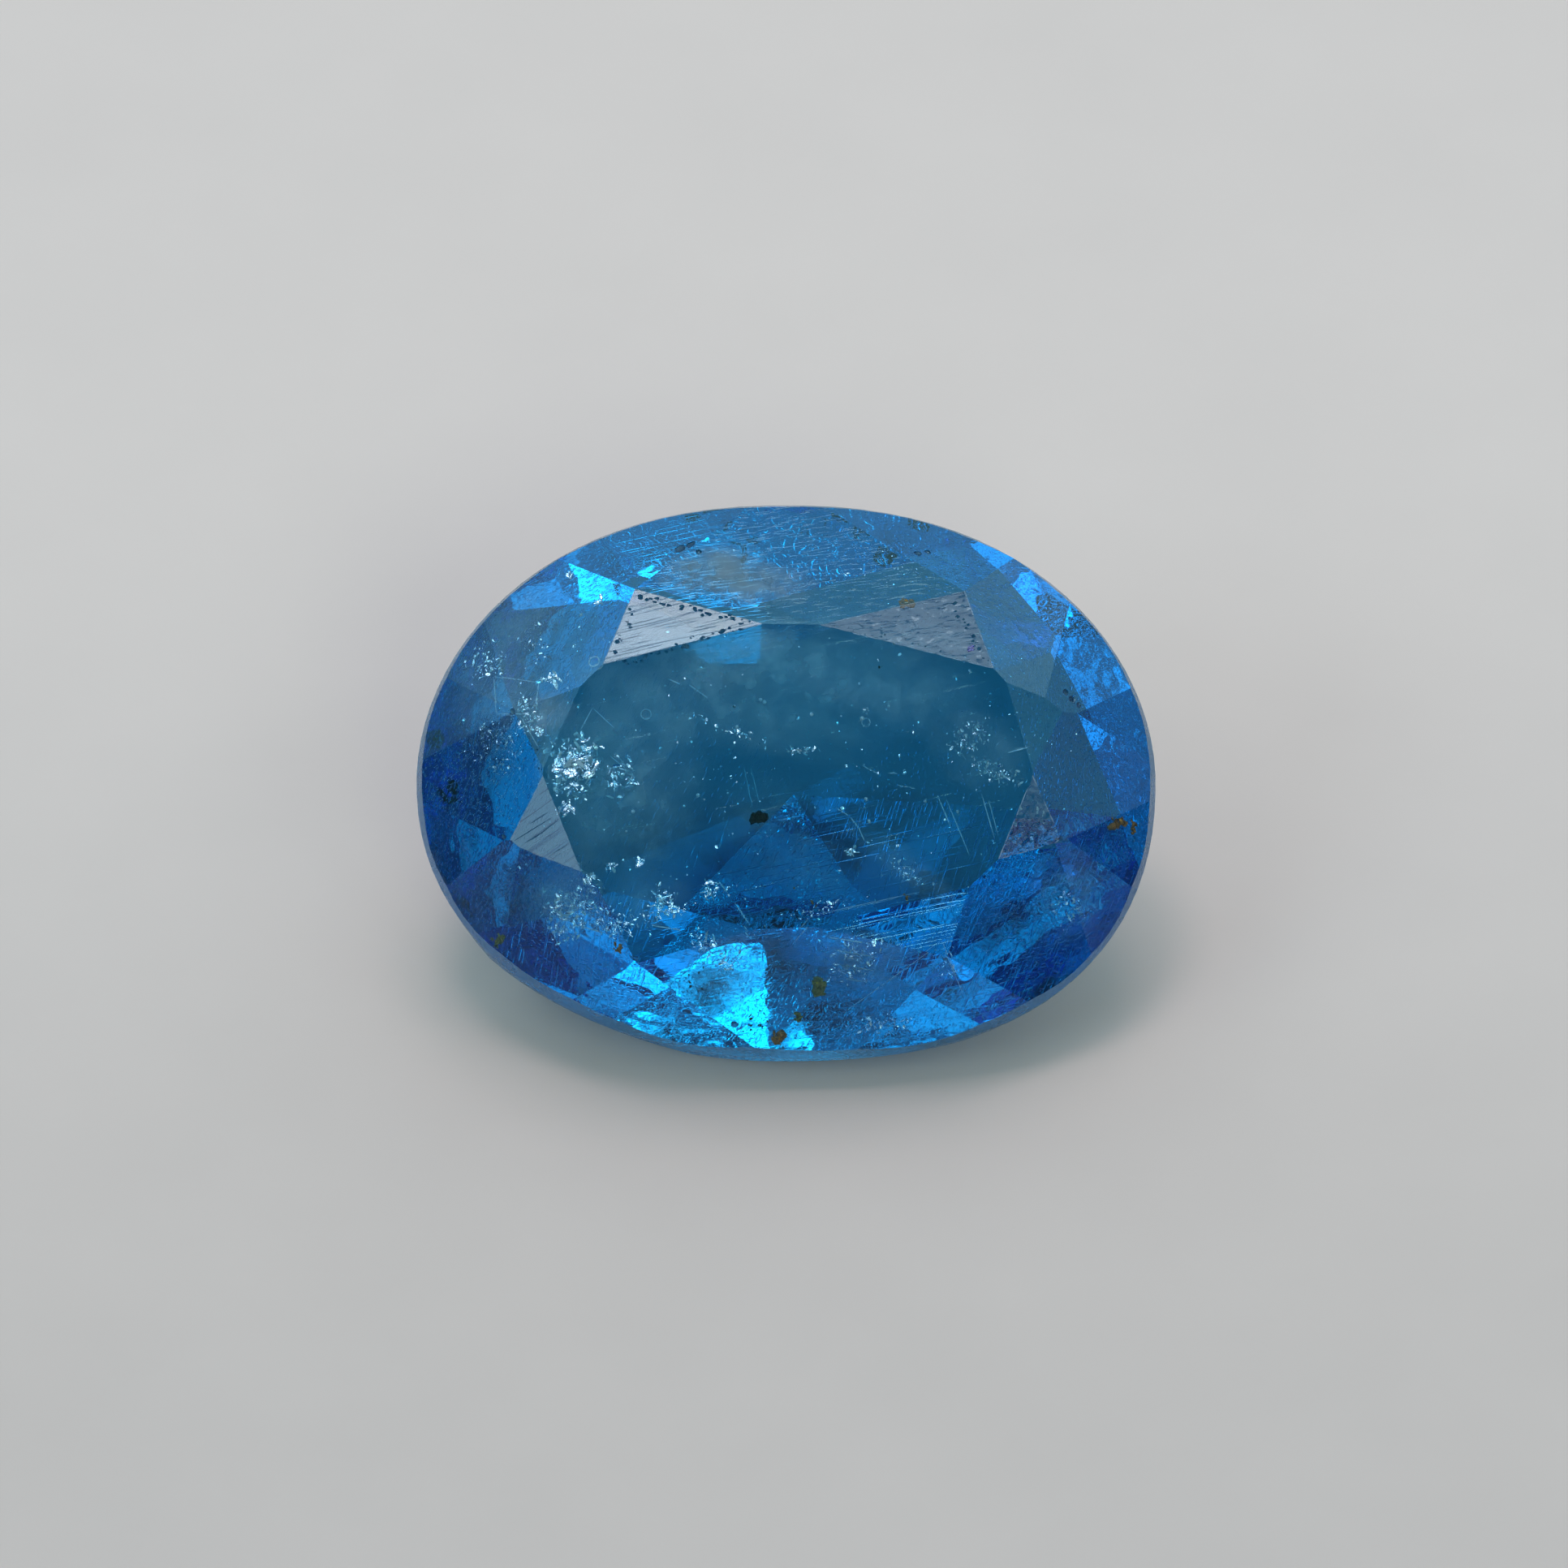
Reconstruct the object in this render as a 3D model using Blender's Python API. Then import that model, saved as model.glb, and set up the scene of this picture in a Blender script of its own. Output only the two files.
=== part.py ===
"""An oval faceted iolite, cut from one crystal and lying on a facet of its underside.

The stone is cut the way a stone cutter cuts it: a ground oval preform loses one flat after
another. It is worked out table up, with the long axis along X and the girdle's upper edge
at height zero, and then leans forward until the resting facet lies flat. Metres, +Z up.
"""
import math

import bmesh
import bpy
from mathutils import Matrix, Vector

MM = 0.001

# The girdle seen along the table's normal: an oval, a little squarer than an ellipse. The
# powers are of its X and Y terms, 2 and 2 for an ellipse, at the back and at the front
HALF_LENGTH = 3.945 * MM
HALF_WIDTH = 3.005 * MM
POWERS_BACK = (2.27, 1.92)
POWERS_FRONT = (2.25, 2.2)
FRONT_SKEW = 0.23 * MM
GIRDLE_STEPS = 96

# The girdle from the side: a ground band that swells a little below its upper edge
GIRDLE_HEIGHT = 0.42 * MM
GIRDLE_SWELL = 0.06 * MM
GIRDLE_SWELL_DEPTH = 0.20 * MM
GIRDLE_FOOT_SWELL = 0.03 * MM

# The crown
TABLE_HEIGHT = 0.95 * MM
TABLE_CENTRE = Vector((0.02 * MM, -0.18 * MM))

# Crown mains from the right-hand end, anticlockwise: direction and slope in degrees,
# then the distance from the table's centre to the table's edge
CROWN_MAINS = (
    (0, 36, 2.64 * MM),
    (42, 37.5, 2.44 * MM),
    (89, 32.5, 1.67 * MM),
    (135, 34.5, 2.28 * MM),
    (178, 35, 2.64 * MM),
    (226, 40.5, 2.31 * MM),
    (272, 40, 1.68 * MM),
    (314, 37.5, 2.24 * MM),
)

# Star facets, each between two mains: direction, slope, distance to the table's edge
STARS = (
    (16, 25, 2.55 * MM),
    (75.5, 20, 1.70 * MM),
    (104.5, 19, 1.69 * MM),
    (156.5, 23, 2.45 * MM),
    (201.5, 22, 2.46 * MM),
    (255, 20, 1.725 * MM),
    (285, 23, 1.69 * MM),
    (338, 23, 2.45 * MM),
)

# Where the pair of upper girdle facets under each star meets the girdle, in degrees
STAR_DIVIDES = (22.5, 63, 117, 157.5, 202.5, 243, 297, 337.5)
# Half the width of each main's foot on the girdle, in degrees of the outline
MAIN_FEET = (4, 9, 4.5, 9, 4, 9, 6.5, 9)
# Upper girdle facets that were cut too deep and took their star's tip off: star, side, depth
OVERCUTS = {(0, 1): 0.025 * MM, (4, 1): 0.015 * MM, (7, -1): 0.012 * MM}

# The pavilion: mains through the culet, direction and slope in degrees, then the two lower
# girdle facets beside each, their turn off the main's direction and their slope. The main at
# 270 degrees is the one that the stone lies on
CULET = Vector((0.08 * MM, 0.09 * MM, -2.613 * MM))
PAVILION = (
    (10.5, 25.0, (-10.0, 47.0), (8.0, 41.0)),
    (66.0, 31.0, (-14.5, 49.0), (18.5, 43.5)),
    (109.0, 24.5, (-9.5, 44.0), (19.0, 42.0)),
    (165.5, 30.5, (-24.5, 49.5), (25.0, 46.0)),
    (229.5, 26.5, (-25.0, 54.5), (16.0, 51.0)),
    (270.0, 33.5, (-25.5, 51.5), (8.5, 36.0)),
    (312.0, 30.5, (-16.0, 41.5), (10.5, 49.0)),
)
RESTING_MAIN = 5

# How near a corner counts as lying on a facet's plane
SNAP = 0.001 * MM

STONE_BLUE = (0.016, 0.13, 0.36, 1.0)
STONE_ROUGHNESS = 0.04
STONE_IOR = 1.545
STONE_CLEARNESS = 0.85


def clear_scene():
    for thing in list(bpy.data.objects):
        bpy.data.objects.remove(thing, do_unlink=True)


def outline_point(angle, outwards=0.0):
    """A point of the girdle's outline, in the plane, moved out by a distance."""
    across, along = math.sin(angle), math.cos(angle)
    power_x, power_y = POWERS_BACK if across > 0 else POWERS_FRONT
    x = HALF_LENGTH * math.copysign(abs(along) ** (2 / power_x), along)
    y = HALF_WIDTH * math.copysign(abs(across) ** (2 / power_y), across)
    if y < 0:
        x += FRONT_SKEW * (y / HALF_WIDTH) ** 2
    point = Vector((x, y))
    return point * (1.0 + outwards / point.length)


def heading(degrees, slope, side):
    """The outward normal of a facet: its direction, its slope, and crown (1) or pavilion (-1)."""
    turn = math.radians(degrees)
    tilt = math.radians(slope)
    flat = math.sin(tilt)
    return Vector((math.cos(turn) * flat, math.sin(turn) * flat, side * math.cos(tilt)))


def through_three(first, second, third):
    """The plane through three points, its normal pointing away from the stone's middle."""
    normal = (second - first).cross(third - first).normalized()
    if normal.dot(first) < 0:
        normal.negate()
    return first, normal


def meeting_point(planes):
    """The one point that three planes share."""
    normals = Matrix([normal for point, normal in planes])
    offsets = Vector([normal.dot(point) for point, normal in planes])
    return normals.inverted() @ offsets


def crown_flat(direction, slope, reach):
    """A crown facet that meets the table's plane at a distance from the table's centre."""
    turn = math.radians(direction)
    flat_point = TABLE_CENTRE + Vector((math.cos(turn), math.sin(turn))) * reach
    return flat_point.to_3d() + Vector((0, 0, TABLE_HEIGHT)), heading(direction, slope, 1)


def foot_on_main(main_plane, degrees):
    """Where a main reaches the girdle's outline at a given angle."""
    flat = outline_point(math.radians(degrees))
    point, normal = main_plane
    height = (normal.dot(point) - normal.x * flat.x - normal.y * flat.y) / normal.z
    return Vector((flat.x, flat.y, height))


def upper_girdle_planes(mains, stars):
    """Two facets under each star, from its tip to the girdle and to the main's foot."""
    planes = []
    for index, star in enumerate(stars):
        after = (index + 1) % len(mains)
        tip = meeting_point((mains[index], mains[after], star))
        divide = outline_point(math.radians(STAR_DIVIDES[index])).to_3d()
        feet = (
            (-1, foot_on_main(mains[index], 45 * index + MAIN_FEET[index])),
            (1, foot_on_main(mains[after], 45 * (index + 1) - MAIN_FEET[after])),
        )
        for side, foot in feet:
            point, normal = through_three(tip, divide, foot)
            depth = OVERCUTS.get((index, side), 0.0)
            planes.append((point - normal * depth, normal))
    return planes


def furthest_on_girdle(direction):
    """The point of the girdle's lower edge that lies furthest out in a direction."""
    turn = math.radians(direction)
    towards = Vector((math.cos(turn), math.sin(turn)))
    steps = [math.radians(step / 2) for step in range(720)]
    edge = [outline_point(step, GIRDLE_FOOT_SWELL) for step in steps]
    furthest = max(edge, key=towards.dot)
    return Vector((furthest.x, furthest.y, -GIRDLE_HEIGHT))


def pavilion_planes():
    """The mains through the culet, and a pair of lower girdle facets beside each."""
    planes = []
    for direction, slope, before, after in PAVILION:
        planes.append((CULET, heading(direction, slope, -1)))
        for turn, steep in (before, after):
            face = direction + turn
            planes.append((furthest_on_girdle(face), heading(face, steep, -1)))
    return planes


def crown_planes():
    table = (Vector((0, 0, TABLE_HEIGHT)), Vector((0, 0, 1)))
    mains = [crown_flat(*row) for row in CROWN_MAINS]
    stars = [crown_flat(*row) for row in STARS]
    return [table] + mains + stars + upper_girdle_planes(mains, stars)


def preform():
    """The ground oval blank: rings of the girdle's outline, stacked and closed."""
    top, bottom = 1.6 * TABLE_HEIGHT, 1.3 * CULET.z
    levels = (
        (top, 0.0),
        (0.0, 0.0),
        (-GIRDLE_SWELL_DEPTH, GIRDLE_SWELL),
        (-GIRDLE_HEIGHT, GIRDLE_FOOT_SWELL),
        (bottom, GIRDLE_FOOT_SWELL),
    )
    blank = bmesh.new()
    rings = []
    for height, swell in levels:
        ring = []
        for step in range(GIRDLE_STEPS):
            flat = outline_point(math.tau * (step + 0.5) / GIRDLE_STEPS, swell)
            ring.append(blank.verts.new((flat.x, flat.y, height)))
        rings.append(ring)
    blank.faces.new(rings[0])
    blank.faces.new(reversed(rings[-1]))
    for upper, lower in zip(rings, rings[1:]):
        for step in range(GIRDLE_STEPS):
            after = (step + 1) % GIRDLE_STEPS
            blank.faces.new((upper[step], lower[step], lower[after], upper[after]))
    return blank


def cut_flat(stone, plane):
    """Grind one flat: take away what lies outside the plane and close the cut."""
    point, normal = plane
    everything = stone.verts[:] + stone.edges[:] + stone.faces[:]
    result = bmesh.ops.bisect_plane(
        stone, geom=everything, dist=SNAP, plane_co=point, plane_no=normal, clear_outer=True)
    rim = [item for item in result["geom_cut"] if isinstance(item, bmesh.types.BMEdge)]
    open_rim = [edge for edge in rim if edge.is_boundary]
    if open_rim:
        bmesh.ops.edgeloop_fill(stone, edges=open_rim)


def lay_down(stone):
    """Lean the stone onto its resting main, with the box's bottom centre at the origin."""
    slope = math.radians(PAVILION[RESTING_MAIN][1])
    bmesh.ops.rotate(stone, verts=stone.verts, cent=(0, 0, 0), matrix=Matrix.Rotation(slope, 3, "X"))
    corners = [vert.co for vert in stone.verts]
    low = Vector(min(corner[axis] for corner in corners) for axis in range(3))
    high = Vector(max(corner[axis] for corner in corners) for axis in range(3))
    middle = (low + high) / 2
    bmesh.ops.translate(stone, verts=stone.verts, vec=(-middle.x, -middle.y, -low.z))


def stone_material():
    material = bpy.data.materials.new("blue_iolite")
    material.use_nodes = True
    shader = material.node_tree.nodes["Principled BSDF"]
    shader.inputs["Base Color"].default_value = STONE_BLUE
    shader.inputs["Roughness"].default_value = STONE_ROUGHNESS
    shader.inputs["Metallic"].default_value = 0.0
    shader.inputs["IOR"].default_value = STONE_IOR
    shader.inputs["Transmission Weight"].default_value = STONE_CLEARNESS
    material.diffuse_color = STONE_BLUE
    return material


def make_stone():
    stone = preform()
    for plane in crown_planes() + pavilion_planes():
        cut_flat(stone, plane)
    bmesh.ops.remove_doubles(stone, verts=stone.verts, dist=SNAP)
    bmesh.ops.dissolve_degenerate(stone, edges=stone.edges, dist=SNAP)
    lay_down(stone)
    bmesh.ops.recalc_face_normals(stone, faces=stone.faces)
    mesh = bpy.data.meshes.new("iolite")
    stone.to_mesh(mesh)
    stone.free()
    mesh.materials.append(stone_material())
    thing = bpy.data.objects.new("iolite", mesh)
    bpy.context.scene.collection.objects.link(thing)
    return thing


clear_scene()
make_stone()
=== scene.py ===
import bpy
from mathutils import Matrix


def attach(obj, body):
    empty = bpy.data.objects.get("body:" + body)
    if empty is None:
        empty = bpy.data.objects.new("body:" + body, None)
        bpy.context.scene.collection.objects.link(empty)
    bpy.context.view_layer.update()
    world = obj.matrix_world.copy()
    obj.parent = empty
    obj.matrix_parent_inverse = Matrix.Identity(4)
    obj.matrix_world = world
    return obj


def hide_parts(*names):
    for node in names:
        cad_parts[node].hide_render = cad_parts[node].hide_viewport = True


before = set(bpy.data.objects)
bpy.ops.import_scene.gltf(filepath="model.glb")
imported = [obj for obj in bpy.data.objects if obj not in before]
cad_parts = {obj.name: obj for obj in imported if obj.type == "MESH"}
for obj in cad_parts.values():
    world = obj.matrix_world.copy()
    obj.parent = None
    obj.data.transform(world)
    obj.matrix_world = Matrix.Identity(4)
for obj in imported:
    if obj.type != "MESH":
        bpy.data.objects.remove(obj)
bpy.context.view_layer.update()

import math
import random

import bmesh
import bpy
from mathutils import Euler, Matrix, Quaternion, Vector, noise
from mathutils.bvhtree import BVHTree

MM = 0.001

# The camera stands in front of the stone and looks down at it through a long lens, so
# that the oval shows as the photograph shows it. The picture is square.
PICTURE_SIDE = 1932
PIXELS_PER_MM = 113.9
LOOKING_DOWN = math.radians(44.5)
AIM = Vector((-0.022, -0.36, 2.24)) * MM
LENS, SENSOR = 500, 36

camera_data = bpy.data.cameras.new("camera")
camera_data.lens = LENS
camera_data.sensor_width = SENSOR
camera = bpy.data.objects.new("camera", camera_data)
bpy.context.scene.collection.objects.link(camera)
distance = PICTURE_SIDE / PIXELS_PER_MM * MM * LENS / SENSOR
back = Vector((0, -math.cos(LOOKING_DOWN), math.sin(LOOKING_DOWN)))
camera.location = AIM + back * distance
camera.rotation_euler = (math.radians(90) - LOOKING_DOWN, 0, 0)
camera_data.clip_start = 0.01
camera_data.clip_end = 20
bpy.context.scene.camera = camera

# Light: a pale studio, darker on the camera's side, with soft boxes above.
scene = bpy.context.scene
scene.view_settings.view_transform = "Standard"
scene.view_settings.look = "None"
scene.cycles.max_bounces = 15
scene.cycles.transmission_bounces = 14
scene.cycles.glossy_bounces = 10
scene.cycles.transparent_max_bounces = 10
scene.cycles.diffuse_bounces = 2
scene.cycles.caustics_reflective = True
scene.cycles.caustics_refractive = True
scene.cycles.sample_clamp_indirect = 6
scene.cycles.use_light_tree = False
scene.cycles.use_denoising = True

# Brightness of the room: at the horizon, above the camera's side, and above the far side
ROOM_LEVEL = 0.22
ROOM_FRONT = 0.26
ROOM_BACK = 1.40


def smooth_step(nodes, links, value, first, last, low, high):
    """From one brightness to another as a value goes from first to last."""
    step = nodes.new("ShaderNodeMapRange")
    step.interpolation_type = "SMOOTHSTEP"
    step.inputs["From Min"].default_value = first
    step.inputs["From Max"].default_value = last
    for socket, level in (("To Min", low), ("To Max", high)):
        if isinstance(level, float):
            step.inputs[socket].default_value = level
        else:
            links.new(level, step.inputs[socket])
    links.new(value, step.inputs["Value"])
    return step.outputs[0]


def make_room():
    world = bpy.data.worlds.new("studio")
    scene.world = world
    world.use_nodes = True
    nodes, links = world.node_tree.nodes, world.node_tree.links
    background = nodes["Background"]
    place = nodes.new("ShaderNodeTexCoord")
    parts = nodes.new("ShaderNodeSeparateXYZ")
    links.new(place.outputs["Generated"], parts.inputs[0])
    above = smooth_step(nodes, links, parts.outputs["Y"], 0.05, 0.50, ROOM_FRONT, ROOM_BACK)
    level = smooth_step(nodes, links, parts.outputs["Z"], 0.05, 0.55, ROOM_LEVEL, above)
    links.new(level, background.inputs["Strength"])
    background.inputs["Color"].default_value = (0.52, 0.92, 1.06, 1)


make_room()


def soft_box(name, towards, half_angle, radiance, colour=(1, 1, 1), away=0.6):
    """A round soft light far off, of a given brightness seen from the stone."""
    light = bpy.data.lights.new(name, "AREA")
    light.shape = "DISK"
    radius = away * math.tan(math.radians(half_angle))
    light.size = 2 * radius
    light.energy = radiance * math.pi * math.pi * radius * radius
    light.color = colour
    lamp = bpy.data.objects.new(name, light)
    towards = Vector(towards).normalized()
    lamp.location = towards * away
    lamp.rotation_mode = "QUATERNION"
    lamp.rotation_quaternion = towards.to_track_quat("Z", "Y")
    scene.collection.objects.link(lamp)
    return lamp


COOL = (0.62, 0.98, 0.93)
KEY_TOWARDS = (-0.16, 0.27, 0.95)
soft_box("key", KEY_TOWARDS, 9, 6.0)
soft_box("key_side", (0.15, 0.31, 0.94), 8, 2.0)
soft_box("back", (0.05, 0.54, 0.84), 10, 3.0)
soft_box("left", (-0.66, 0.05, 0.75), 11, 0.9, COOL)
soft_box("left_low", (-0.85, -0.20, 0.48), 10, 2.0, COOL)
soft_box("left_front", (-0.68, -0.42, 0.60), 12, 2.0, (0.52, 0.96, 1.15))
soft_box("left_front_low", (-0.47, -0.80, 0.38), 7, 1.2, COOL)
soft_box("front", (0.21, -0.80, 0.56), 9.5, 4.9, (0.74, 1.12, 0.88))
soft_box("right_front", (0.49, -0.62, 0.61), 8, 3.2, COOL)
soft_box("right", (0.72, -0.20, 0.66), 14, 0.8, COOL)
soft_box("right_low", (0.67, -0.46, 0.58), 6, 0.6)
soft_box("right_main", (0.93, 0.01, 0.37), 9, 0.5)
soft_box("far_right", (0.60, 0.60, 0.53), 7, 0.6)
soft_box("far_left", (-0.58, 0.54, 0.61), 9, 0.3)

# The floor: a pale, matt, faintly mottled sheet, with painted shade making it darker towards the camera.
FLOOR_DROP = 0.04 * MM
FLOOR_REACH = 9 * MM
FLOOR_LIT_AND_MOTTLED = (0.82, 0.565, 0.53)
FLOOR_SHADED_AND_MOTTLED = (0.65, 0.447, 0.42)

floor_shape = bmesh.new()
bmesh.ops.create_grid(floor_shape, x_segments=1, y_segments=1, size=6)
bmesh.ops.translate(floor_shape, vec=(0, 0, -FLOOR_DROP), verts=floor_shape.verts)
floor_mesh = bpy.data.meshes.new("floor")
floor_shape.to_mesh(floor_mesh)
floor_shape.free()
floor = bpy.data.objects.new("floor", floor_mesh)
scene.collection.objects.link(floor)


def floor_material():
    """Matt paint: the tone drifts in soft clouds, and painted shade darkens it from the far side to the near one."""
    material = bpy.data.materials.new("pale_floor")
    material.use_nodes = True
    nodes, links = material.node_tree.nodes, material.node_tree.links
    shader = nodes["Principled BSDF"]
    shader.inputs["Roughness"].default_value = 0.9
    place = nodes.new("ShaderNodeTexCoord").outputs["Object"]
    parts = nodes.new("ShaderNodeSeparateXYZ")
    links.new(place, parts.inputs[0])
    # Painted light fall-off: lighter at the far side, painted shade towards the camera
    painted_falloff = smooth_step(nodes, links, parts.outputs["Y"], -FLOOR_REACH, FLOOR_REACH, 0.0, 0.8)
    clouds = nodes.new("ShaderNodeTexNoise")
    clouds.inputs["Scale"].default_value = 1 / (2.2 * MM)
    clouds.inputs["Detail"].default_value = 6
    links.new(place, clouds.inputs["Vector"])
    mottle_and_painted_falloff = nodes.new("ShaderNodeMath")
    mottle_and_painted_falloff.operation = "MULTIPLY_ADD"
    mottle_and_painted_falloff.inputs[1].default_value = 0.3
    links.new(clouds.outputs[0], mottle_and_painted_falloff.inputs[0])
    links.new(painted_falloff, mottle_and_painted_falloff.inputs[2])
    tint = nodes.new("ShaderNodeValToRGB")
    tint.color_ramp.elements[0].color = (*FLOOR_SHADED_AND_MOTTLED, 1)
    tint.color_ramp.elements[1].color = (*FLOOR_LIT_AND_MOTTLED, 1)
    links.new(mottle_and_painted_falloff.outputs[0], tint.inputs["Fac"])
    links.new(tint.outputs["Color"], shader.inputs["Base Color"])
    return material


floor_mesh.materials.append(floor_material())

# The stone's skin: the cut solid, its edges a little worn, its surface pitted and chipped.
# It is shaped in millimetres and then brought back to metres.
REFRACTION = 1.548
ABSORPTION = (950, 142, 25)
CRYSTAL_TINT = (0.80, 0.82, 1.0)
REFLECTION_TINT = (0.50, 0.90, 1.0)
TABLE_LEAN = math.radians(33.5)
EDGE_WEAR = 0.009
# A pixel of the photograph that lies on each of these star facets
UPPER_LEFT_STAR = (800, 790)
LOWER_LEFT_STAR = (668, 1020)
LOWER_RIGHT_STAR = (1285, 1020)
UPPER_RIGHT_STAR = (1150, 775)
# Chips: their middle in the photograph's pixels, their size in millimetres
CHIPS = (
    (838, 676, 0.07), (851, 671, 0.06), (861, 680, 0.05), (1131, 682, 0.05), (1143, 680, 0.05),
    (1313, 853, 0.06), (1321, 862, 0.06), (1329, 869, 0.05), (846, 1246, 0.05), (905, 1262, 0.05),
    (783, 1181, 0.045), (1165, 1182, 0.04), (632, 876, 0.04), (621, 1031, 0.035), (1307, 1033, 0.035),
)
# Rows of pits: from and to in the photograph's pixels, how many, and their size in millimetres
PIT_ROWS = (
    ((785, 736), (925, 768), 30, 0.030),
    ((766, 819), (918, 769), 30, 0.026),
    ((778, 748), (758, 818), 12, 0.026),
    ((1172, 735), (1215, 812), 14, 0.022),
    ((1267, 1023), (1305, 1057), 16, 0.014),
    ((1262, 1035), (1298, 1062), 12, 0.013),
    ((640, 880), (668, 948), 10, 0.014),
    ((1040, 775), (1175, 805), 14, 0.013),
)
# Parallel scratches on the lower left star facet: from and to in pixels
SCRATCHES = (
    ((632, 1037), (682, 1006)), ((638, 1044), (676, 1021)), ((642, 1050), (690, 1019)),
    ((660, 1056), (694, 1037)), ((668, 1058), (700, 1041)), ((676, 1060), (713, 1040)),
    ((690, 1066), (716, 1053)), ((648, 1018), (680, 998)), ((655, 1035), (686, 1012)),
)
SCRATCH_WIDTH = 0.011


def pixel_ray(pixel):
    """From the camera through a pixel of the photograph, in millimetres."""
    across, down = [(value - PICTURE_SIDE / 2) / PIXELS_PER_MM * MM for value in pixel]
    up = Vector((0, math.sin(LOOKING_DOWN), math.cos(LOOKING_DOWN)))
    target = AIM + Vector((across, 0, 0)) - up * down
    return camera.location * 1000, (target - camera.location).normalized()


def on_skin(pixel):
    """Where a pixel's ray meets the stone: place, facet normal, facet number, and the ray."""
    start, ray = pixel_ray(pixel)
    place, normal, number, length = skin.ray_cast(start, ray)
    return place, normal, number, ray


def lump(shape, place, half_sizes, turn, roughness, chance, subdivisions=1):
    """A small closed lump, with its corners moved a little at random."""
    spread = Matrix.LocRotScale(place, turn, Vector(half_sizes))
    made = bmesh.ops.create_icosphere(shape, subdivisions=subdivisions, radius=1, matrix=spread)
    for vert in made["verts"]:
        vert.co = place + (vert.co - place) * chance.uniform(1 - roughness, 1 + roughness)
    return made["verts"]


def any_turn(chance):
    return Euler([chance.uniform(0, math.tau) for axis in range(3)])


def bumps(nodes, links, height, depth, after=None):
    """A bump node, in metres of depth, laid over an earlier one."""
    bump = nodes.new("ShaderNodeBump")
    bump.inputs["Strength"].default_value = 1
    bump.inputs["Distance"].default_value = depth
    links.new(height, bump.inputs["Height"])
    if after:
        links.new(after.outputs[0], bump.inputs["Normal"])
    return bump


def noise_between(nodes, links, place, scale, low, high, detail=3, least=0.0):
    """Noise on the object's coordinates, stretched to run up to 1 between two of its levels."""
    grain = nodes.new("ShaderNodeTexNoise")
    grain.inputs["Scale"].default_value = scale
    grain.inputs["Detail"].default_value = detail
    links.new(place, grain.inputs["Vector"])
    reach = nodes.new("ShaderNodeMapRange")
    reach.inputs["From Min"].default_value = low
    reach.inputs["From Max"].default_value = high
    reach.inputs["To Min"].default_value = least
    links.new(grain.outputs[0], reach.inputs["Value"])
    return reach.outputs[0]


def crystal_material(
        name, roughness, peel, peel_size, scratch,
        direction=(1, 0.2, 0.1), clear=1.0, shine=REFLECTION_TINT, tint=CRYSTAL_TINT):
    """Clear blue crystal. The peel is a soft unevenness, in metres deep, and the scratches are long lines."""
    material = bpy.data.materials.new(name)
    material.use_nodes = True
    nodes, links = material.node_tree.nodes, material.node_tree.links
    shader = nodes["Principled BSDF"]
    shader.inputs["Base Color"].default_value = (*tint, 1)
    shader.inputs["IOR"].default_value = REFRACTION
    shader.inputs["Specular Tint"].default_value = (*shine, 1)
    shader.inputs["Transmission Weight"].default_value = clear
    density = max(ABSORPTION) * 1.02
    soak = nodes.new("ShaderNodeVolumeAbsorption")
    soak.inputs["Density"].default_value = density
    soak.inputs["Color"].default_value = (*[1 - part / density for part in ABSORPTION], 1)
    links.new(soak.outputs[0], nodes["Material Output"].inputs["Volume"])
    place = nodes.new("ShaderNodeTexCoord").outputs["Object"]
    uneven = noise_between(nodes, links, place, 1 / peel_size, 0.2, 0.8, detail=1)
    soft = bumps(nodes, links, uneven, peel)
    along = nodes.new("ShaderNodeMapping")
    along.vector_type = "TEXTURE"
    along.inputs["Rotation"].default_value = Vector(direction).to_track_quat("X", "Z").to_euler()
    along.inputs["Scale"].default_value = (1.2 * MM, 0.022 * MM, 0.022 * MM)
    links.new(place, along.inputs["Vector"])
    lines = noise_between(nodes, links, along.outputs[0], 1, 0.62, 0.74, detail=0)
    sharp = bumps(nodes, links, lines, -scratch, soft)
    links.new(sharp.outputs[0], shader.inputs["Normal"])
    dull = noise_between(nodes, links, place, 1 / (0.4 * MM), 0.35, 0.75, detail=1)
    polish = nodes.new("ShaderNodeMapRange")
    polish.inputs["To Min"].default_value = roughness * 0.6
    polish.inputs["To Max"].default_value = roughness * 1.4
    links.new(dull, polish.inputs["Value"])
    links.new(polish.outputs[0], shader.inputs["Roughness"])
    return material


def cut_away(target, cutter):
    """Take the cutter's lumps off a mesh, and remove the cutter."""
    cut = target.modifiers.new("cut", "BOOLEAN")
    cut.operation = "DIFFERENCE"
    cut.object = cutter
    cut.use_self = True
    ready = target.evaluated_get(bpy.context.evaluated_depsgraph_get())
    result = bpy.data.meshes.new_from_object(ready)
    target.modifiers.clear()
    target.data = result
    bpy.data.objects.remove(cutter, do_unlink=True)


def put(name, shape, materials, scale=MM):
    """Make an object of a mesh that was shaped in millimetres."""
    bmesh.ops.scale(shape, vec=(scale, scale, scale), verts=shape.verts)
    mesh = bpy.data.meshes.new(name)
    shape.to_mesh(mesh)
    shape.free()
    for material in materials:
        mesh.materials.append(material)
    thing = bpy.data.objects.new(name, mesh)
    scene.collection.objects.link(thing)
    return thing


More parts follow.
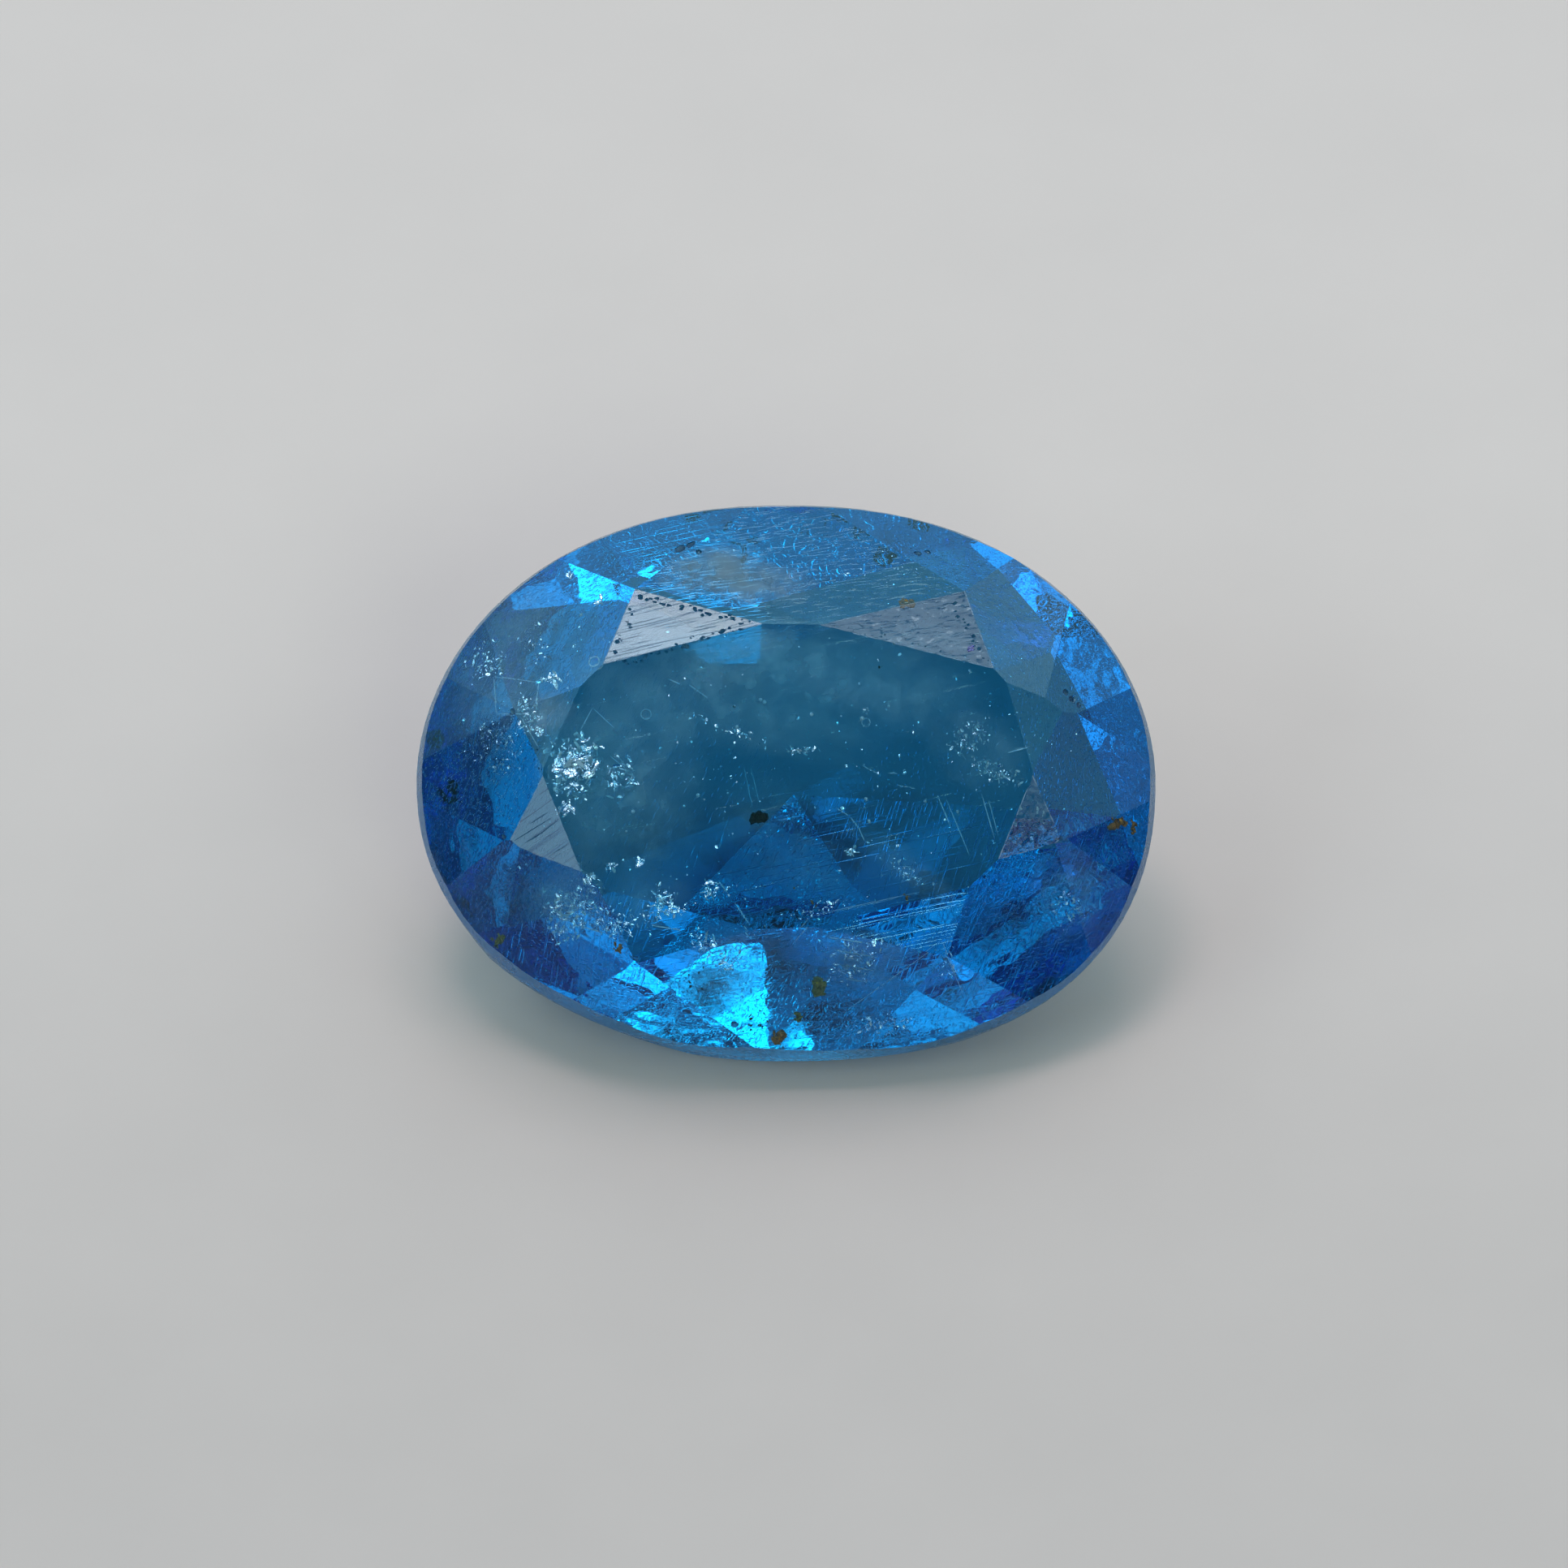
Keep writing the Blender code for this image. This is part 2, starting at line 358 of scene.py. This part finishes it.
PALE_SHINE = (0.81, 0.91, 1.0)
skin_materials = [
    crystal_material("polished_iolite", 0.012, 0.0012 * MM, 0.45 * MM, 0.0009 * MM),
    crystal_material("ground_iolite", 0.30, 0.010 * MM, 0.05 * MM, 0.002 * MM, clear=0.90, tint=(0.62, 0.92, 1.0)),
    crystal_material("underside_iolite", 0.02, 0.0028 * MM, 0.40 * MM, 0.0012 * MM, (0.3, 1, 0.2)),
    crystal_material("scratched_iolite", 0.06, 0.0025 * MM, 0.25 * MM, 0.014 * MM, (0.765, 0.197, 0.56), 0.90, PALE_SHINE),
    crystal_material("peeled_iolite", 0.06, 0.0060 * MM, 0.11 * MM, 0.003 * MM, shine=PALE_SHINE),
    crystal_material("broken_iolite", 0.30, 0.0060 * MM, 0.04 * MM, 0.002 * MM, clear=0.75, shine=PALE_SHINE),
    crystal_material("rubbed_iolite", 0.10, 0.0040 * MM, 0.25 * MM, 0.004 * MM, clear=0.84, shine=PALE_SHINE),
    crystal_material("pitted_iolite", 0.35, 0.0060 * MM, 0.04 * MM, 0.002 * MM, tint=(0.25, 0.35, 0.5)),
]
GROUND, UNDERSIDE, SCRATCHED, PEELED, BROKEN, RUBBED, PITTED = range(1, 8)

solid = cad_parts["iolite"]
stone = bmesh.new()
stone.from_mesh(solid.data)
bmesh.ops.scale(stone, vec=(1000, 1000, 1000), verts=stone.verts)
bmesh.ops.remove_doubles(stone, verts=stone.verts, dist=0.0005)
bmesh.ops.dissolve_limit(
    stone, angle_limit=math.radians(0.15), verts=stone.verts, edges=stone.edges, use_dissolve_boundaries=False)
skin = BVHTree.FromBMesh(stone)
table_normal = Vector((0, -math.sin(TABLE_LEAN), math.cos(TABLE_LEAN)))
for face in stone.faces:
    facing = face.normal.dot(table_normal)
    face.material_index = GROUND if abs(facing) < 0.45 else UNDERSIDE if facing < 0 else 0
    face.smooth = False
stone.faces.ensure_lookup_table()
for pixel, number in (
    (UPPER_LEFT_STAR, RUBBED), (LOWER_LEFT_STAR, SCRATCHED), (LOWER_RIGHT_STAR, PEELED), (UPPER_RIGHT_STAR, PEELED)):
    stone.faces[on_skin(pixel)[2]].material_index = number
worn = [
    [vert.co.copy() for vert in edge.verts] + [sum((face.normal for face in edge.link_faces), Vector()).normalized()]
    for edge in stone.edges
    if any(face.material_index in (SCRATCHED, PEELED, RUBBED) for face in edge.link_faces)]

# The edges of the star facets are rubbed here and there, and the pits and chips are small
# lumps cut out of the skin.
chance = random.Random(11)
cutters = bmesh.new()
for start, end, outwards in worn:
    along = end - start
    count = max(1, round(along.length / 0.16))
    for step in range(count):
        if chance.random() < 0.35:
            continue
        share = (step + chance.uniform(0.3, 0.7)) / count
        width = EDGE_WEAR * chance.uniform(0.4, 1.2)
        reach = min(along.length / count * chance.uniform(0.3, 0.8), along.length / 2)
        place = start + along * share + outwards * width * 0.5
        lump(cutters, place, (width, width, reach), along.to_track_quat("Z", "Y"), 0.05, chance, 2)
for face in cutters.faces:
    face.material_index = BROKEN
worn_faces = len(cutters.faces)
for first, last in SCRATCHES:
    start, end = on_skin(first)[0], on_skin(last)[0]
    along = end - start
    half_sizes = (SCRATCH_WIDTH / 2, SCRATCH_WIDTH / 2, along.length / 2 * chance.uniform(0.7, 1.1))
    lump(cutters, (start + end) / 2, half_sizes, along.to_track_quat("Z", "Y"), 0.02, chance, 2)
for across, down, size in CHIPS:
    place, normal, number, ray = on_skin((across, down))
    if place is None:
        print("chip misses", across, down)
        continue
    half_sizes = [size * chance.uniform(0.7, 1.2), size * chance.uniform(0.5, 0.9), size * chance.uniform(0.3, 0.5)]
    lump(cutters, place + normal * size * 0.1, half_sizes, normal.to_track_quat("Z", "Y"), 0.15, chance, 2)
for first, last, count, size in PIT_ROWS:
    for step in range(count):
        share = (step + chance.uniform(0.1, 0.9)) / count
        pixel = [a + (b - a) * share + chance.gauss(0, 2.5) for a, b in zip(first, last)]
        place, normal, number, ray = on_skin(pixel)
        wide = size * chance.uniform(0.5, 1.3)
        lump(cutters, place, (wide, wide * chance.uniform(0.5, 1), wide * 0.7), normal.to_track_quat("Z", "Y"), 0.15, chance)
for face in list(cutters.faces)[worn_faces:]:
    face.material_index = PITTED
gem = put("iolite_stone", stone, skin_materials, 1)
cut_away(gem, put("chips", cutters, skin_materials, 1))
gem.data.transform(Matrix.Scale(MM, 4))
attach(gem, "root")
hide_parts("iolite")
print("gem faces", len(gem.data.polygons), [s.name for s in gem.data.materials])

# What lies inside: first the feathers, clusters of small bright flakes where the crystal
# has healed cracks. Each row is a cluster: its middle and half-widths in the photograph's
# pixels, its turn in degrees, how many flakes, their half-size and the depth in millimetres,
# and the share of them that flash like small mirrors.
FEATHERS = (
    (710, 945, 34, 46, 10, 120, 0.026, 0.45, 0.65),
    (712, 944, 22, 15, 0, 70, 0.034, 0.30, 0.65),
    (697, 996, 9, 9, 40, 16, 0.034, 0.25, 0.65),
    (765, 958, 25, 28, 0, 45, 0.020, 0.50, 0.65),
    (610, 920, 40, 44, 0, 70, 0.011, 0.40, 0.70),
    (598, 815, 26, 26, -50, 40, 0.016, 0.35, 0.80),
    (679, 836, 12, 9, 0, 14, 0.030, 0.25, 0.65),
    (655, 885, 16, 34, -25, 50, 0.016, 0.30, 0.70),
    (702, 1117, 42, 30, 20, 75, 0.022, 0.45, 0.65),
    (695, 1150, 24, 14, 0, 24, 0.020, 0.40, 0.65),
    (817, 1110, 18, 24, 0, 36, 0.018, 0.45, 0.65),
    (880, 1096, 22, 14, 0, 24, 0.018, 0.50, 0.65),
    (890, 895, 72, 9, 20, 34, 0.012, 0.55, 0.65),
    (752, 1068, 9, 7, 0, 8, 0.024, 0.35, 0.65),
    (790, 1062, 6, 8, 0, 8, 0.022, 0.35, 0.65),
    (725, 1092, 7, 13, -30, 12, 0.022, 0.30, 0.65),
    (988, 925, 24, 6, 0, 26, 0.016, 0.45, 0.25),
    (1067, 878, 6, 8, 0, 4, 0.014, 0.35, 0.65),
    (1196, 908, 36, 22, -35, 90, 0.012, 0.35, 0.20),
    (1226, 950, 40, 14, 20, 80, 0.013, 0.35, 0.20),
    (1120, 1077, 36, 9, 38, 34, 0.011, 0.45, 0.65),
    (1050, 1050, 10, 6, 0, 8, 0.018, 0.45, 0.65),
    (1315, 1120, 26, 30, 0, 34, 0.011, 0.35, 0.65),
    (702, 710, 6, 7, 0, 6, 0.018, 0.15, 0.65),
    (738, 740, 6, 9, 0, 7, 0.018, 0.15, 0.65),
    (655, 790, 26, 30, -30, 22, 0.011, 0.30, 0.65),
    (1090, 700, 60, 18, 0, 12, 0.009, 0.20, 0.65),
    (870, 1160, 26, 16, 40, 24, 0.016, 0.45, 0.65),
    (900, 1185, 16, 20, 30, 18, 0.014, 0.40, 0.65),
    (760, 1140, 40, 22, 10, 34, 0.014, 0.40, 0.65),
    (1170, 1190, 14, 14, 0, 9, 0.012, 0.30, 0.65),
    (1052, 1182, 40, 30, -35, 60, 0.014, 0.25, 0.85),
    (1085, 1262, 50, 14, -5, 46, 0.012, 0.20, 0.85),
    (1010, 1120, 40, 12, -15, 26, 0.012, 0.30, 0.85),
    (800, 1130, 60, 10, -15, 30, 0.012, 0.30, 0.85),
)
LOOSE_FLAKES = 420
# How far a bright flake leans off the turn that flashes, in radians
GLINT_WOBBLE = math.radians(6)
LOOSE_MIDDLE, LOOSE_REACH = (960, 950), (400, 300)


def bent(ray, normal):
    """A ray's direction once it has gone in through the skin."""
    straight = -ray.dot(normal)
    deeper = ray / REFRACTION + normal * (
        straight / REFRACTION - math.sqrt(1 - (1 - straight * straight) / REFRACTION ** 2))
    return deeper.normalized()


def inside(pixel, depth):
    """A place that many millimetres under the skin, along a pixel's ray as the crystal bends it."""
    place, normal, number, ray = on_skin(pixel)
    if place is None:
        return None, None
    deeper = bent(ray, normal)
    far = skin.ray_cast(place + deeper * 0.01, deeper)[3]
    return place + deeper * min(depth, (far or 0) * 0.8), deeper


def glint_turn(place, deeper, chance):
    """A flake's turn that sends the key light on to the camera, give or take a few degrees."""
    above = skin.ray_cast(place, -deeper)[1] or table_normal
    light_way = bent(-Vector(KEY_TOWARDS).normalized(), above)
    halfway = -(light_way + deeper).normalized()
    wobble = Euler((chance.gauss(0, GLINT_WOBBLE), chance.gauss(0, GLINT_WOBBLE), chance.uniform(0, math.tau)))
    return halfway.to_track_quat("Z", "Y") @ wobble.to_quaternion()


def in_patch(row, chance):
    """A random pixel in a tilted oval patch, denser in its middle."""
    reach = math.sqrt(chance.random()) * chance.uniform(0.5, 1.1)
    round_about = chance.uniform(0, math.tau)
    flat = Vector((row[2] * reach * math.cos(round_about), row[3] * reach * math.sin(round_about)))
    flat.rotate(Matrix.Rotation(math.radians(row[4]), 2))
    return row[0] + flat.x, row[1] + flat.y


def gather(shape, cluster):
    """Add a cluster to a bigger mesh: the operators are quick on a small one only."""
    part = bpy.data.meshes.new("cluster")
    cluster.to_mesh(part)
    cluster.free()
    shape.from_mesh(part)
    bpy.data.meshes.remove(part)


def inclusion_material(name, dark, light, roughness, grain=0.05 * MM, metallic=0.0):
    """A solid speck in the crystal, its colour and its bumps changing from grain to grain."""
    material = bpy.data.materials.new(name)
    material.use_nodes = True
    nodes, links = material.node_tree.nodes, material.node_tree.links
    shader = nodes["Principled BSDF"]
    place = nodes.new("ShaderNodeTexCoord").outputs["Object"]
    level = noise_between(nodes, links, place, 1 / grain, 0.3, 0.7)
    tint = nodes.new("ShaderNodeValToRGB")
    tint.color_ramp.elements[0].color = (*dark, 1)
    tint.color_ramp.elements[1].color = (*light, 1)
    links.new(level, tint.inputs["Fac"])
    links.new(tint.outputs["Color"], shader.inputs["Base Color"])
    links.new(bumps(nodes, links, level, 0.004 * MM).outputs[0], shader.inputs["Normal"])
    shader.inputs["Roughness"].default_value = roughness
    shader.inputs["Metallic"].default_value = metallic
    shader.inputs["Specular IOR Level"].default_value = 0.2
    return material


chance = random.Random(23)
feathers = bmesh.new()
for row in FEATHERS:
    cluster = bmesh.new()
    for flake in range(2 * row[5]):
        place, deeper = inside(in_patch(row, chance), row[7] * chance.uniform(0.3, 1.3))
        if place is None:
            continue
        size = row[6] * min(1.25 * chance.lognormvariate(0, 0.55), 2.8)
        half_sizes = (size, size * chance.uniform(0.12, 0.55), size * chance.uniform(0.04, 0.12))
        if chance.random() < row[8]:
            made = lump(cluster, place, half_sizes, glint_turn(place, deeper, chance), 0.25, chance)
            for vert in made:
                for face in vert.link_faces:
                    face.material_index = 1
        else:
            lump(cluster, place, half_sizes, any_turn(chance), 0.25, chance)
    gather(feathers, cluster)
cluster = bmesh.new()
for flake in range(LOOSE_FLAKES):
    pixel = [middle + reach * chance.gauss(0, 0.5) for middle, reach in zip(LOOSE_MIDDLE, LOOSE_REACH)]
    place, deeper = inside(pixel, chance.uniform(0.1, 1.2))
    if place is None:
        continue
    size = 0.0095 * chance.lognormvariate(0, 0.5)
    made = lump(cluster, place, (size, size * 0.6, size * 0.1), glint_turn(place, deeper, chance), 0.2, chance)
    for vert in made:
        for face in vert.link_faces:
            face.material_index = 1
gather(feathers, cluster)
flake_white = inclusion_material("flake_white", (0.72, 0.93, 0.97), (0.95, 1.0, 1.0), 0.25)
flake_mirror = inclusion_material("flake_mirror", (0.85, 0.96, 1.0), (1.0, 1.0, 1.0), 0.12, metallic=1)
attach(put("feathers", feathers, [flake_white, flake_mirror]), "root")

# Needles, thin healed cracks and growth lines: each runs between two of the photograph's
# pixels, with a half-width and a depth in millimetres.
NEEDLES = (
    ((750, 930), (780, 955), 0.006, 0.4),
    ((757, 926), (776, 950), 0.005, 0.5),
    ((822, 836), (838, 843), 0.008, 0.3),
    ((848, 843), (872, 860), 0.008, 0.3),
    ((802, 1140), (840, 1146), 0.009, 0.3),
    ((715, 1141), (746, 1150), 0.008, 0.3),
    ((1030, 995), (1047, 1006), 0.007, 0.4),
    ((1047, 1006), (1058, 1020), 0.007, 0.4),
    ((1058, 1020), (1065, 1036), 0.007, 0.4),
    ((1240, 928), (1270, 920), 0.009, 0.3),
    ((1155, 980), (1172, 1020), 0.006, 0.5),
    ((1166, 985), (1195, 1055), 0.006, 0.5),
    ((1210, 980), (1226, 1035), 0.006, 0.4),
    ((1218, 985), (1230, 1030), 0.005, 0.4),
    ((916, 942), (928, 998), 0.0035, 0.9),
    ((925, 945), (936, 990), 0.003, 0.9),
    ((905, 1112), (924, 1140), 0.008, 0.6),
    ((868, 1082), (880, 1110), 0.009, 0.6),
    ((886, 1086), (896, 1100), 0.009, 0.6),
    ((608, 834), (664, 841), 0.005, 0.2),
    ((664, 841), (660, 880), 0.005, 0.2),
    ((608, 834), (612, 880), 0.005, 0.2),
    ((612, 880), (660, 880), 0.005, 0.2),
    ((641, 882), (664, 922), 0.005, 0.2),
    ((1062, 943), (1085, 955), 0.006, 0.4),
    ((1093, 953), (1106, 953), 0.006, 0.4),
    ((1105, 967), (1128, 972), 0.006, 0.4),
    ((715, 900), (730, 872), 0.005, 0.3),
    ((730, 872), (758, 898), 0.005, 0.3),
    ((1020, 1155), (1075, 1163), 0.008, 0.3),
    ((1026, 1170), (1083, 1180), 0.008, 0.3),
    ((1032, 1188), (1078, 1196), 0.008, 0.3),
    ((1040, 1206), (1070, 1210), 0.007, 0.3),
    ((1042, 1246), (1160, 1158), 0.0045, 0.25),
    ((975, 1165), (1000, 1128), 0.0040, 0.25),
    ((1000, 1128), (1138, 1098), 0.0035, 0.25),
    ((1160, 1158), (1188, 1228), 0.0035, 0.25),
)
RINGS = ((732, 815, 0.060, 0.2), (796, 880, 0.055, 0.3), (695, 1117, 0.10, 0.4), (1067, 890, 0.045, 0.3))

chance = random.Random(31)
needles = bmesh.new()
for first, last, width, depth in NEEDLES:
    (start, deeper), (end, deeper) = inside(first, depth), inside(last, depth)
    if start is None or end is None:
        continue
    along = end - start
    lump(needles, (start + end) / 2, (width, width * 0.7, along.length / 2), along.to_track_quat("Z", "Y"), 0.06, chance, 2)
for across, down, size, depth in RINGS:
    place, deeper = inside((across, down), depth)
    turn = deeper.to_track_quat("Z", "Y")
    wide = turn @ Vector((1, 0, 0))
    section = bmesh.ops.create_circle(
        needles, segments=6, radius=size * 0.12, matrix=Matrix.LocRotScale(place + wide * size, Quaternion(turn @ Vector((1, 0, 0)), math.radians(90)) @ turn, None))
    rim = list({edge for vert in section["verts"] for edge in vert.link_edges})
    bmesh.ops.spin(needles, geom=section["verts"] + rim, cent=place, axis=deeper, angle=math.tau, steps=18, use_merge=True)
bmesh.ops.recalc_face_normals(needles, faces=needles.faces)
needle_pale = inclusion_material("needle_pale", (0.45, 0.68, 0.82), (0.85, 0.93, 0.97), 0.15)
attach(put("needles", needles, [needle_pale]), "root")

# Specks: pinpoints all through the stone, and a few that stand out.
BRIGHT_POINTS = (
    (942, 865), (911, 899), (937, 862), (908, 896), (1062, 885), (1067, 984), (1071, 1012), (1140, 987),
    (1053, 1043), (716, 757), (860, 980), (1000, 880), (1095, 870), (800, 905), (1180, 1000), (780, 1000),
)
chance = random.Random(5)
specks = bmesh.new()
for pixel in BRIGHT_POINTS:
    place, deeper = inside(pixel, chance.uniform(0.2, 0.5))
    size = chance.uniform(0.016, 0.026)
    lump(specks, place, (size, size, size), any_turn(chance), 0.1, chance)
for point in range(520):
    pixel = [middle + reach * chance.gauss(0, 0.55) for middle, reach in zip(LOOSE_MIDDLE, LOOSE_REACH)]
    place, deeper = inside(pixel, chance.uniform(0.15, 2.2))
    if place is None:
        continue
    size = 0.006 * chance.lognormvariate(0, 0.35)
    lump(specks, place, (size, size, size), any_turn(chance), 0.1, chance)
speck_pale = inclusion_material("speck_pale", (0.6, 0.78, 0.88), (0.95, 0.98, 1.0), 0.3)
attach(put("specks", specks, [speck_pale]), "root")

# Veils: thin curved sheets of haze, strongest in their middle, and grey and dark sheets of painted shade made the
# same way.
# Each row is a middle and half-widths in the photograph's pixels, a turn, a depth in millimetres and a strength.
VEILS = (
    (950, 840, 260, 95, 0, 0.45, 0.50),
    (850, 815, 150, 55, -14, 0.30, 0.30),
    (1090, 840, 140, 60, 14, 0.35, 0.28),
    (905, 792, 50, 26, -6, 0.20, 0.40),
    (770, 960, 110, 140, 15, 0.45, 0.46),
    (985, 905, 110, 36, 14, 0.50, 0.22),
    (1210, 925, 72, 52, 20, 0.35, 0.32),
    (715, 945, 60, 70, 0, 0.45, 0.50),
    (705, 1115, 60, 50, 20, 0.40, 0.42),
    (1110, 1065, 90, 26, 38, 0.40, 0.30),
    (940, 1000, 70, 50, 0, 0.60, 0.18),
    (800, 1110, 60, 40, -10, 0.40, 0.34),
    (610, 860, 60, 80, 10, 0.30, 0.30),
    (1000, 1060, 120, 50, 20, 0.60, 0.16),
    (900, 1190, 60, 50, 40, 0.30, 0.36),
    (1060, 1180, 60, 40, 0, 0.30, 0.30),
    (1150, 790, 60, 26, 15, 0.15, 0.26),
    (650, 760, 60, 40, -40, 0.25, 0.26),
    (1310, 1100, 50, 70, 0, 0.35, 0.26),
    (674, 880, 40, 28, -30, 0.06, 0.40),
)
# Grey sheets of painted shade: they stand in for the shaded floor that the crown shows through the stone near its
# far rim
PAINTED_GREY_SHADE_SHEETS = (
    (862, 704, 64, 32, -14, 0.10, 1.0),
    (915, 710, 66, 28, 6, 0.12, 0.85),
    (935, 722, 74, 30, 0, 0.07, 1.0),
    (884, 702, 66, 32, -10, 0.06, 1.0),
)
# Dark sheets of painted shade: soft dark blotches in the table and at the rim, standing in for shaded floor and
# facets seen through the stone
PAINTED_DARK_SHADE_SHEETS = (
    (963, 1172, 46, 38, 0, 0.15, 0.80),
    (860, 1210, 30, 28, 20, 0.15, 0.65),
    (1050, 1190, 62, 34, 0, 0.20, 0.55),
    (900, 1060, 64, 30, -10, 0.60, 0.40),
    (985, 1012, 36, 46, 24, 0.55, 0.62),
    (1035, 1040, 56, 26, 30, 0.60, 0.40),
    (935, 1072, 40, 20, -30, 0.55, 0.32),
    (1096, 1004, 78, 40, 6, 0.60, 0.52),
    (800, 1040, 50, 36, 0, 0.60, 0.30),
    (1240, 1143, 68, 52, 20, 0.25, 0.80),
    (600, 930, 52, 52, 0, 0.25, 0.62),
    (640, 1110, 60, 36, 30, 0.20, 0.45),
)
SHEET_STEPS = 12


def haze_and_shade_material(name, colour):
    """Haze, and painted shade made the same way, that comes and goes: see-through by noise and by the sheet's own
    fade.
    """
    material = bpy.data.materials.new(name)
    material.use_nodes = True
    nodes, links = material.node_tree.nodes, material.node_tree.links
    shader = nodes["Principled BSDF"]
    shader.inputs["Base Color"].default_value = (*colour, 1)
    shader.inputs["Roughness"].default_value = 0.4
    place = nodes.new("ShaderNodeTexCoord").outputs["Object"]
    cloud = noise_between(nodes, links, place, 1 / (0.28 * MM), 0.40, 0.75, detail=5, least=0.35)
    fade = nodes.new("ShaderNodeAttribute")
    fade.attribute_name = "fade"
    both = nodes.new("ShaderNodeMath")
    both.operation = "MULTIPLY"
    links.new(cloud, both.inputs[0])
    links.new(fade.outputs["Fac"], both.inputs[1])
    links.new(both.outputs[0], shader.inputs["Alpha"])
    return material


haze_and_shade_sheets = bmesh.new()
fade = haze_and_shade_sheets.verts.layers.float.new("fade")
for number, row in [(index, row) for index, rows in enumerate((VEILS, PAINTED_GREY_SHADE_SHEETS, PAINTED_DARK_SHADE_SHEETS)) for row in rows]:
    across, down, half_wide, half_high, turn, depth, strength = row
    sheet = bmesh.ops.create_grid(haze_and_shade_sheets, x_segments=SHEET_STEPS, y_segments=SHEET_STEPS, size=1)
    for vert in sheet["verts"]:
        flat = vert.co.xy
        vert[fade] = strength * max(0, 1 - flat.length ** 2)
        reach = Vector((flat.x * half_wide, flat.y * half_high))
        reach.rotate(Matrix.Rotation(math.radians(turn), 2))
        wave = noise.noise(Vector((across / 50, flat.x * 1.5, flat.y * 1.5)))
        place, deeper = inside((across + reach.x, down + reach.y), depth * (1 + 0.5 * wave))
        vert.co = place if place else vert.co * 0
        if place is None:
            vert[fade] = -1
        for face in vert.link_faces:
            face.material_index = number
bmesh.ops.delete(haze_and_shade_sheets, geom=[vert for vert in haze_and_shade_sheets.verts if vert[fade] < 0], context="VERTS")
pale_haze = haze_and_shade_material("pale_haze", (0.86, 0.95, 1.0))
# A grey sheet of painted shade
grey_painted_shade = haze_and_shade_material("grey_painted_shade", (0.36, 0.37, 0.40))
# A dark sheet of painted shade
dark_painted_shade = haze_and_shade_material("dark_painted_shade", (0.010, 0.035, 0.090))
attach(put("haze_and_shade_sheets", haze_and_shade_sheets, [pale_haze, grey_painted_shade, dark_painted_shade]), "root")

# Stains: rust and green in the pits of the skin and in cracks, and the dark crystal in the
# middle. Each row is a middle and half-widths in pixels, a turn, flakes, size and depth.
RUST_STAINS = (
    (1117, 744, 8, 6, 0, 16, 0.034, 0.06), (1378, 1014, 10, 8, 0, 18, 0.036, 0.05),
    (1398, 1020, 6, 9, 0, 14, 0.032, 0.04), (762, 1168, 7, 8, 0, 12, 0.030, 0.06),
    (960, 1279, 8, 10, 20, 26, 0.044, 0.06), (1117, 1104, 8, 5, 0, 4, 0.018, 0.2),
    (998, 1110, 26, 3, 40, 9, 0.014, 0.3), (741, 735, 5, 4, 0, 3, 0.014, 0.1),
)
GREEN_STAINS = (
    (613, 1158, 10, 8, 0, 18, 0.032, 0.06), (1010, 1215, 7, 12, -20, 26, 0.042, 0.08),
    (984, 1254, 5, 8, 0, 14, 0.034, 0.08),
)
DARK_GRAINS = (
    (937, 1007, 11, 4, -5, 20, 0.055, 0.12), (930, 1257, 24, 20, 40, 16, 0.016, 0.12),
    (1084, 820, 3, 6, 0, 3, 0.016, 0.15), (735, 760, 3, 3, 0, 2, 0.012, 0.1),
    (860, 1212, 20, 20, 0, 12, 0.016, 0.25), (905, 870, 3, 3, 0, 2, 0.010, 0.1),
)
VIOLET_SPOT = ((1197, 798, 5, 4, 0, 7, 0.036, 0.08),)


def stains(name, rows, dark, light, seed):
    chance = random.Random(seed)
    shape = bmesh.new()
    for row in rows:
        for flake in range(row[5]):
            place, deeper = inside(in_patch(row, chance), row[7] * chance.uniform(0.6, 1.4))
            if place is None:
                continue
            size = row[6] * chance.lognormvariate(0, 0.3)
            lump(shape, place, (size, size * 0.7, size * 0.4), any_turn(chance), 0.25, chance)
    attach(put(name, shape, [inclusion_material(name, dark, light, 0.55)]), "root")


stains("rust_stains", RUST_STAINS, (0.16, 0.07, 0.02), (0.50, 0.26, 0.07), 41)
stains("green_stains", GREEN_STAINS, (0.07, 0.10, 0.03), (0.25, 0.28, 0.08), 42)
stains("dark_grains", DARK_GRAINS, (0.001, 0.004, 0.003), (0.006, 0.025, 0.018), 43)
stains("violet_spot", VIOLET_SPOT, (0.07, 0.04, 0.50), (0.14, 0.10, 0.80), 44)
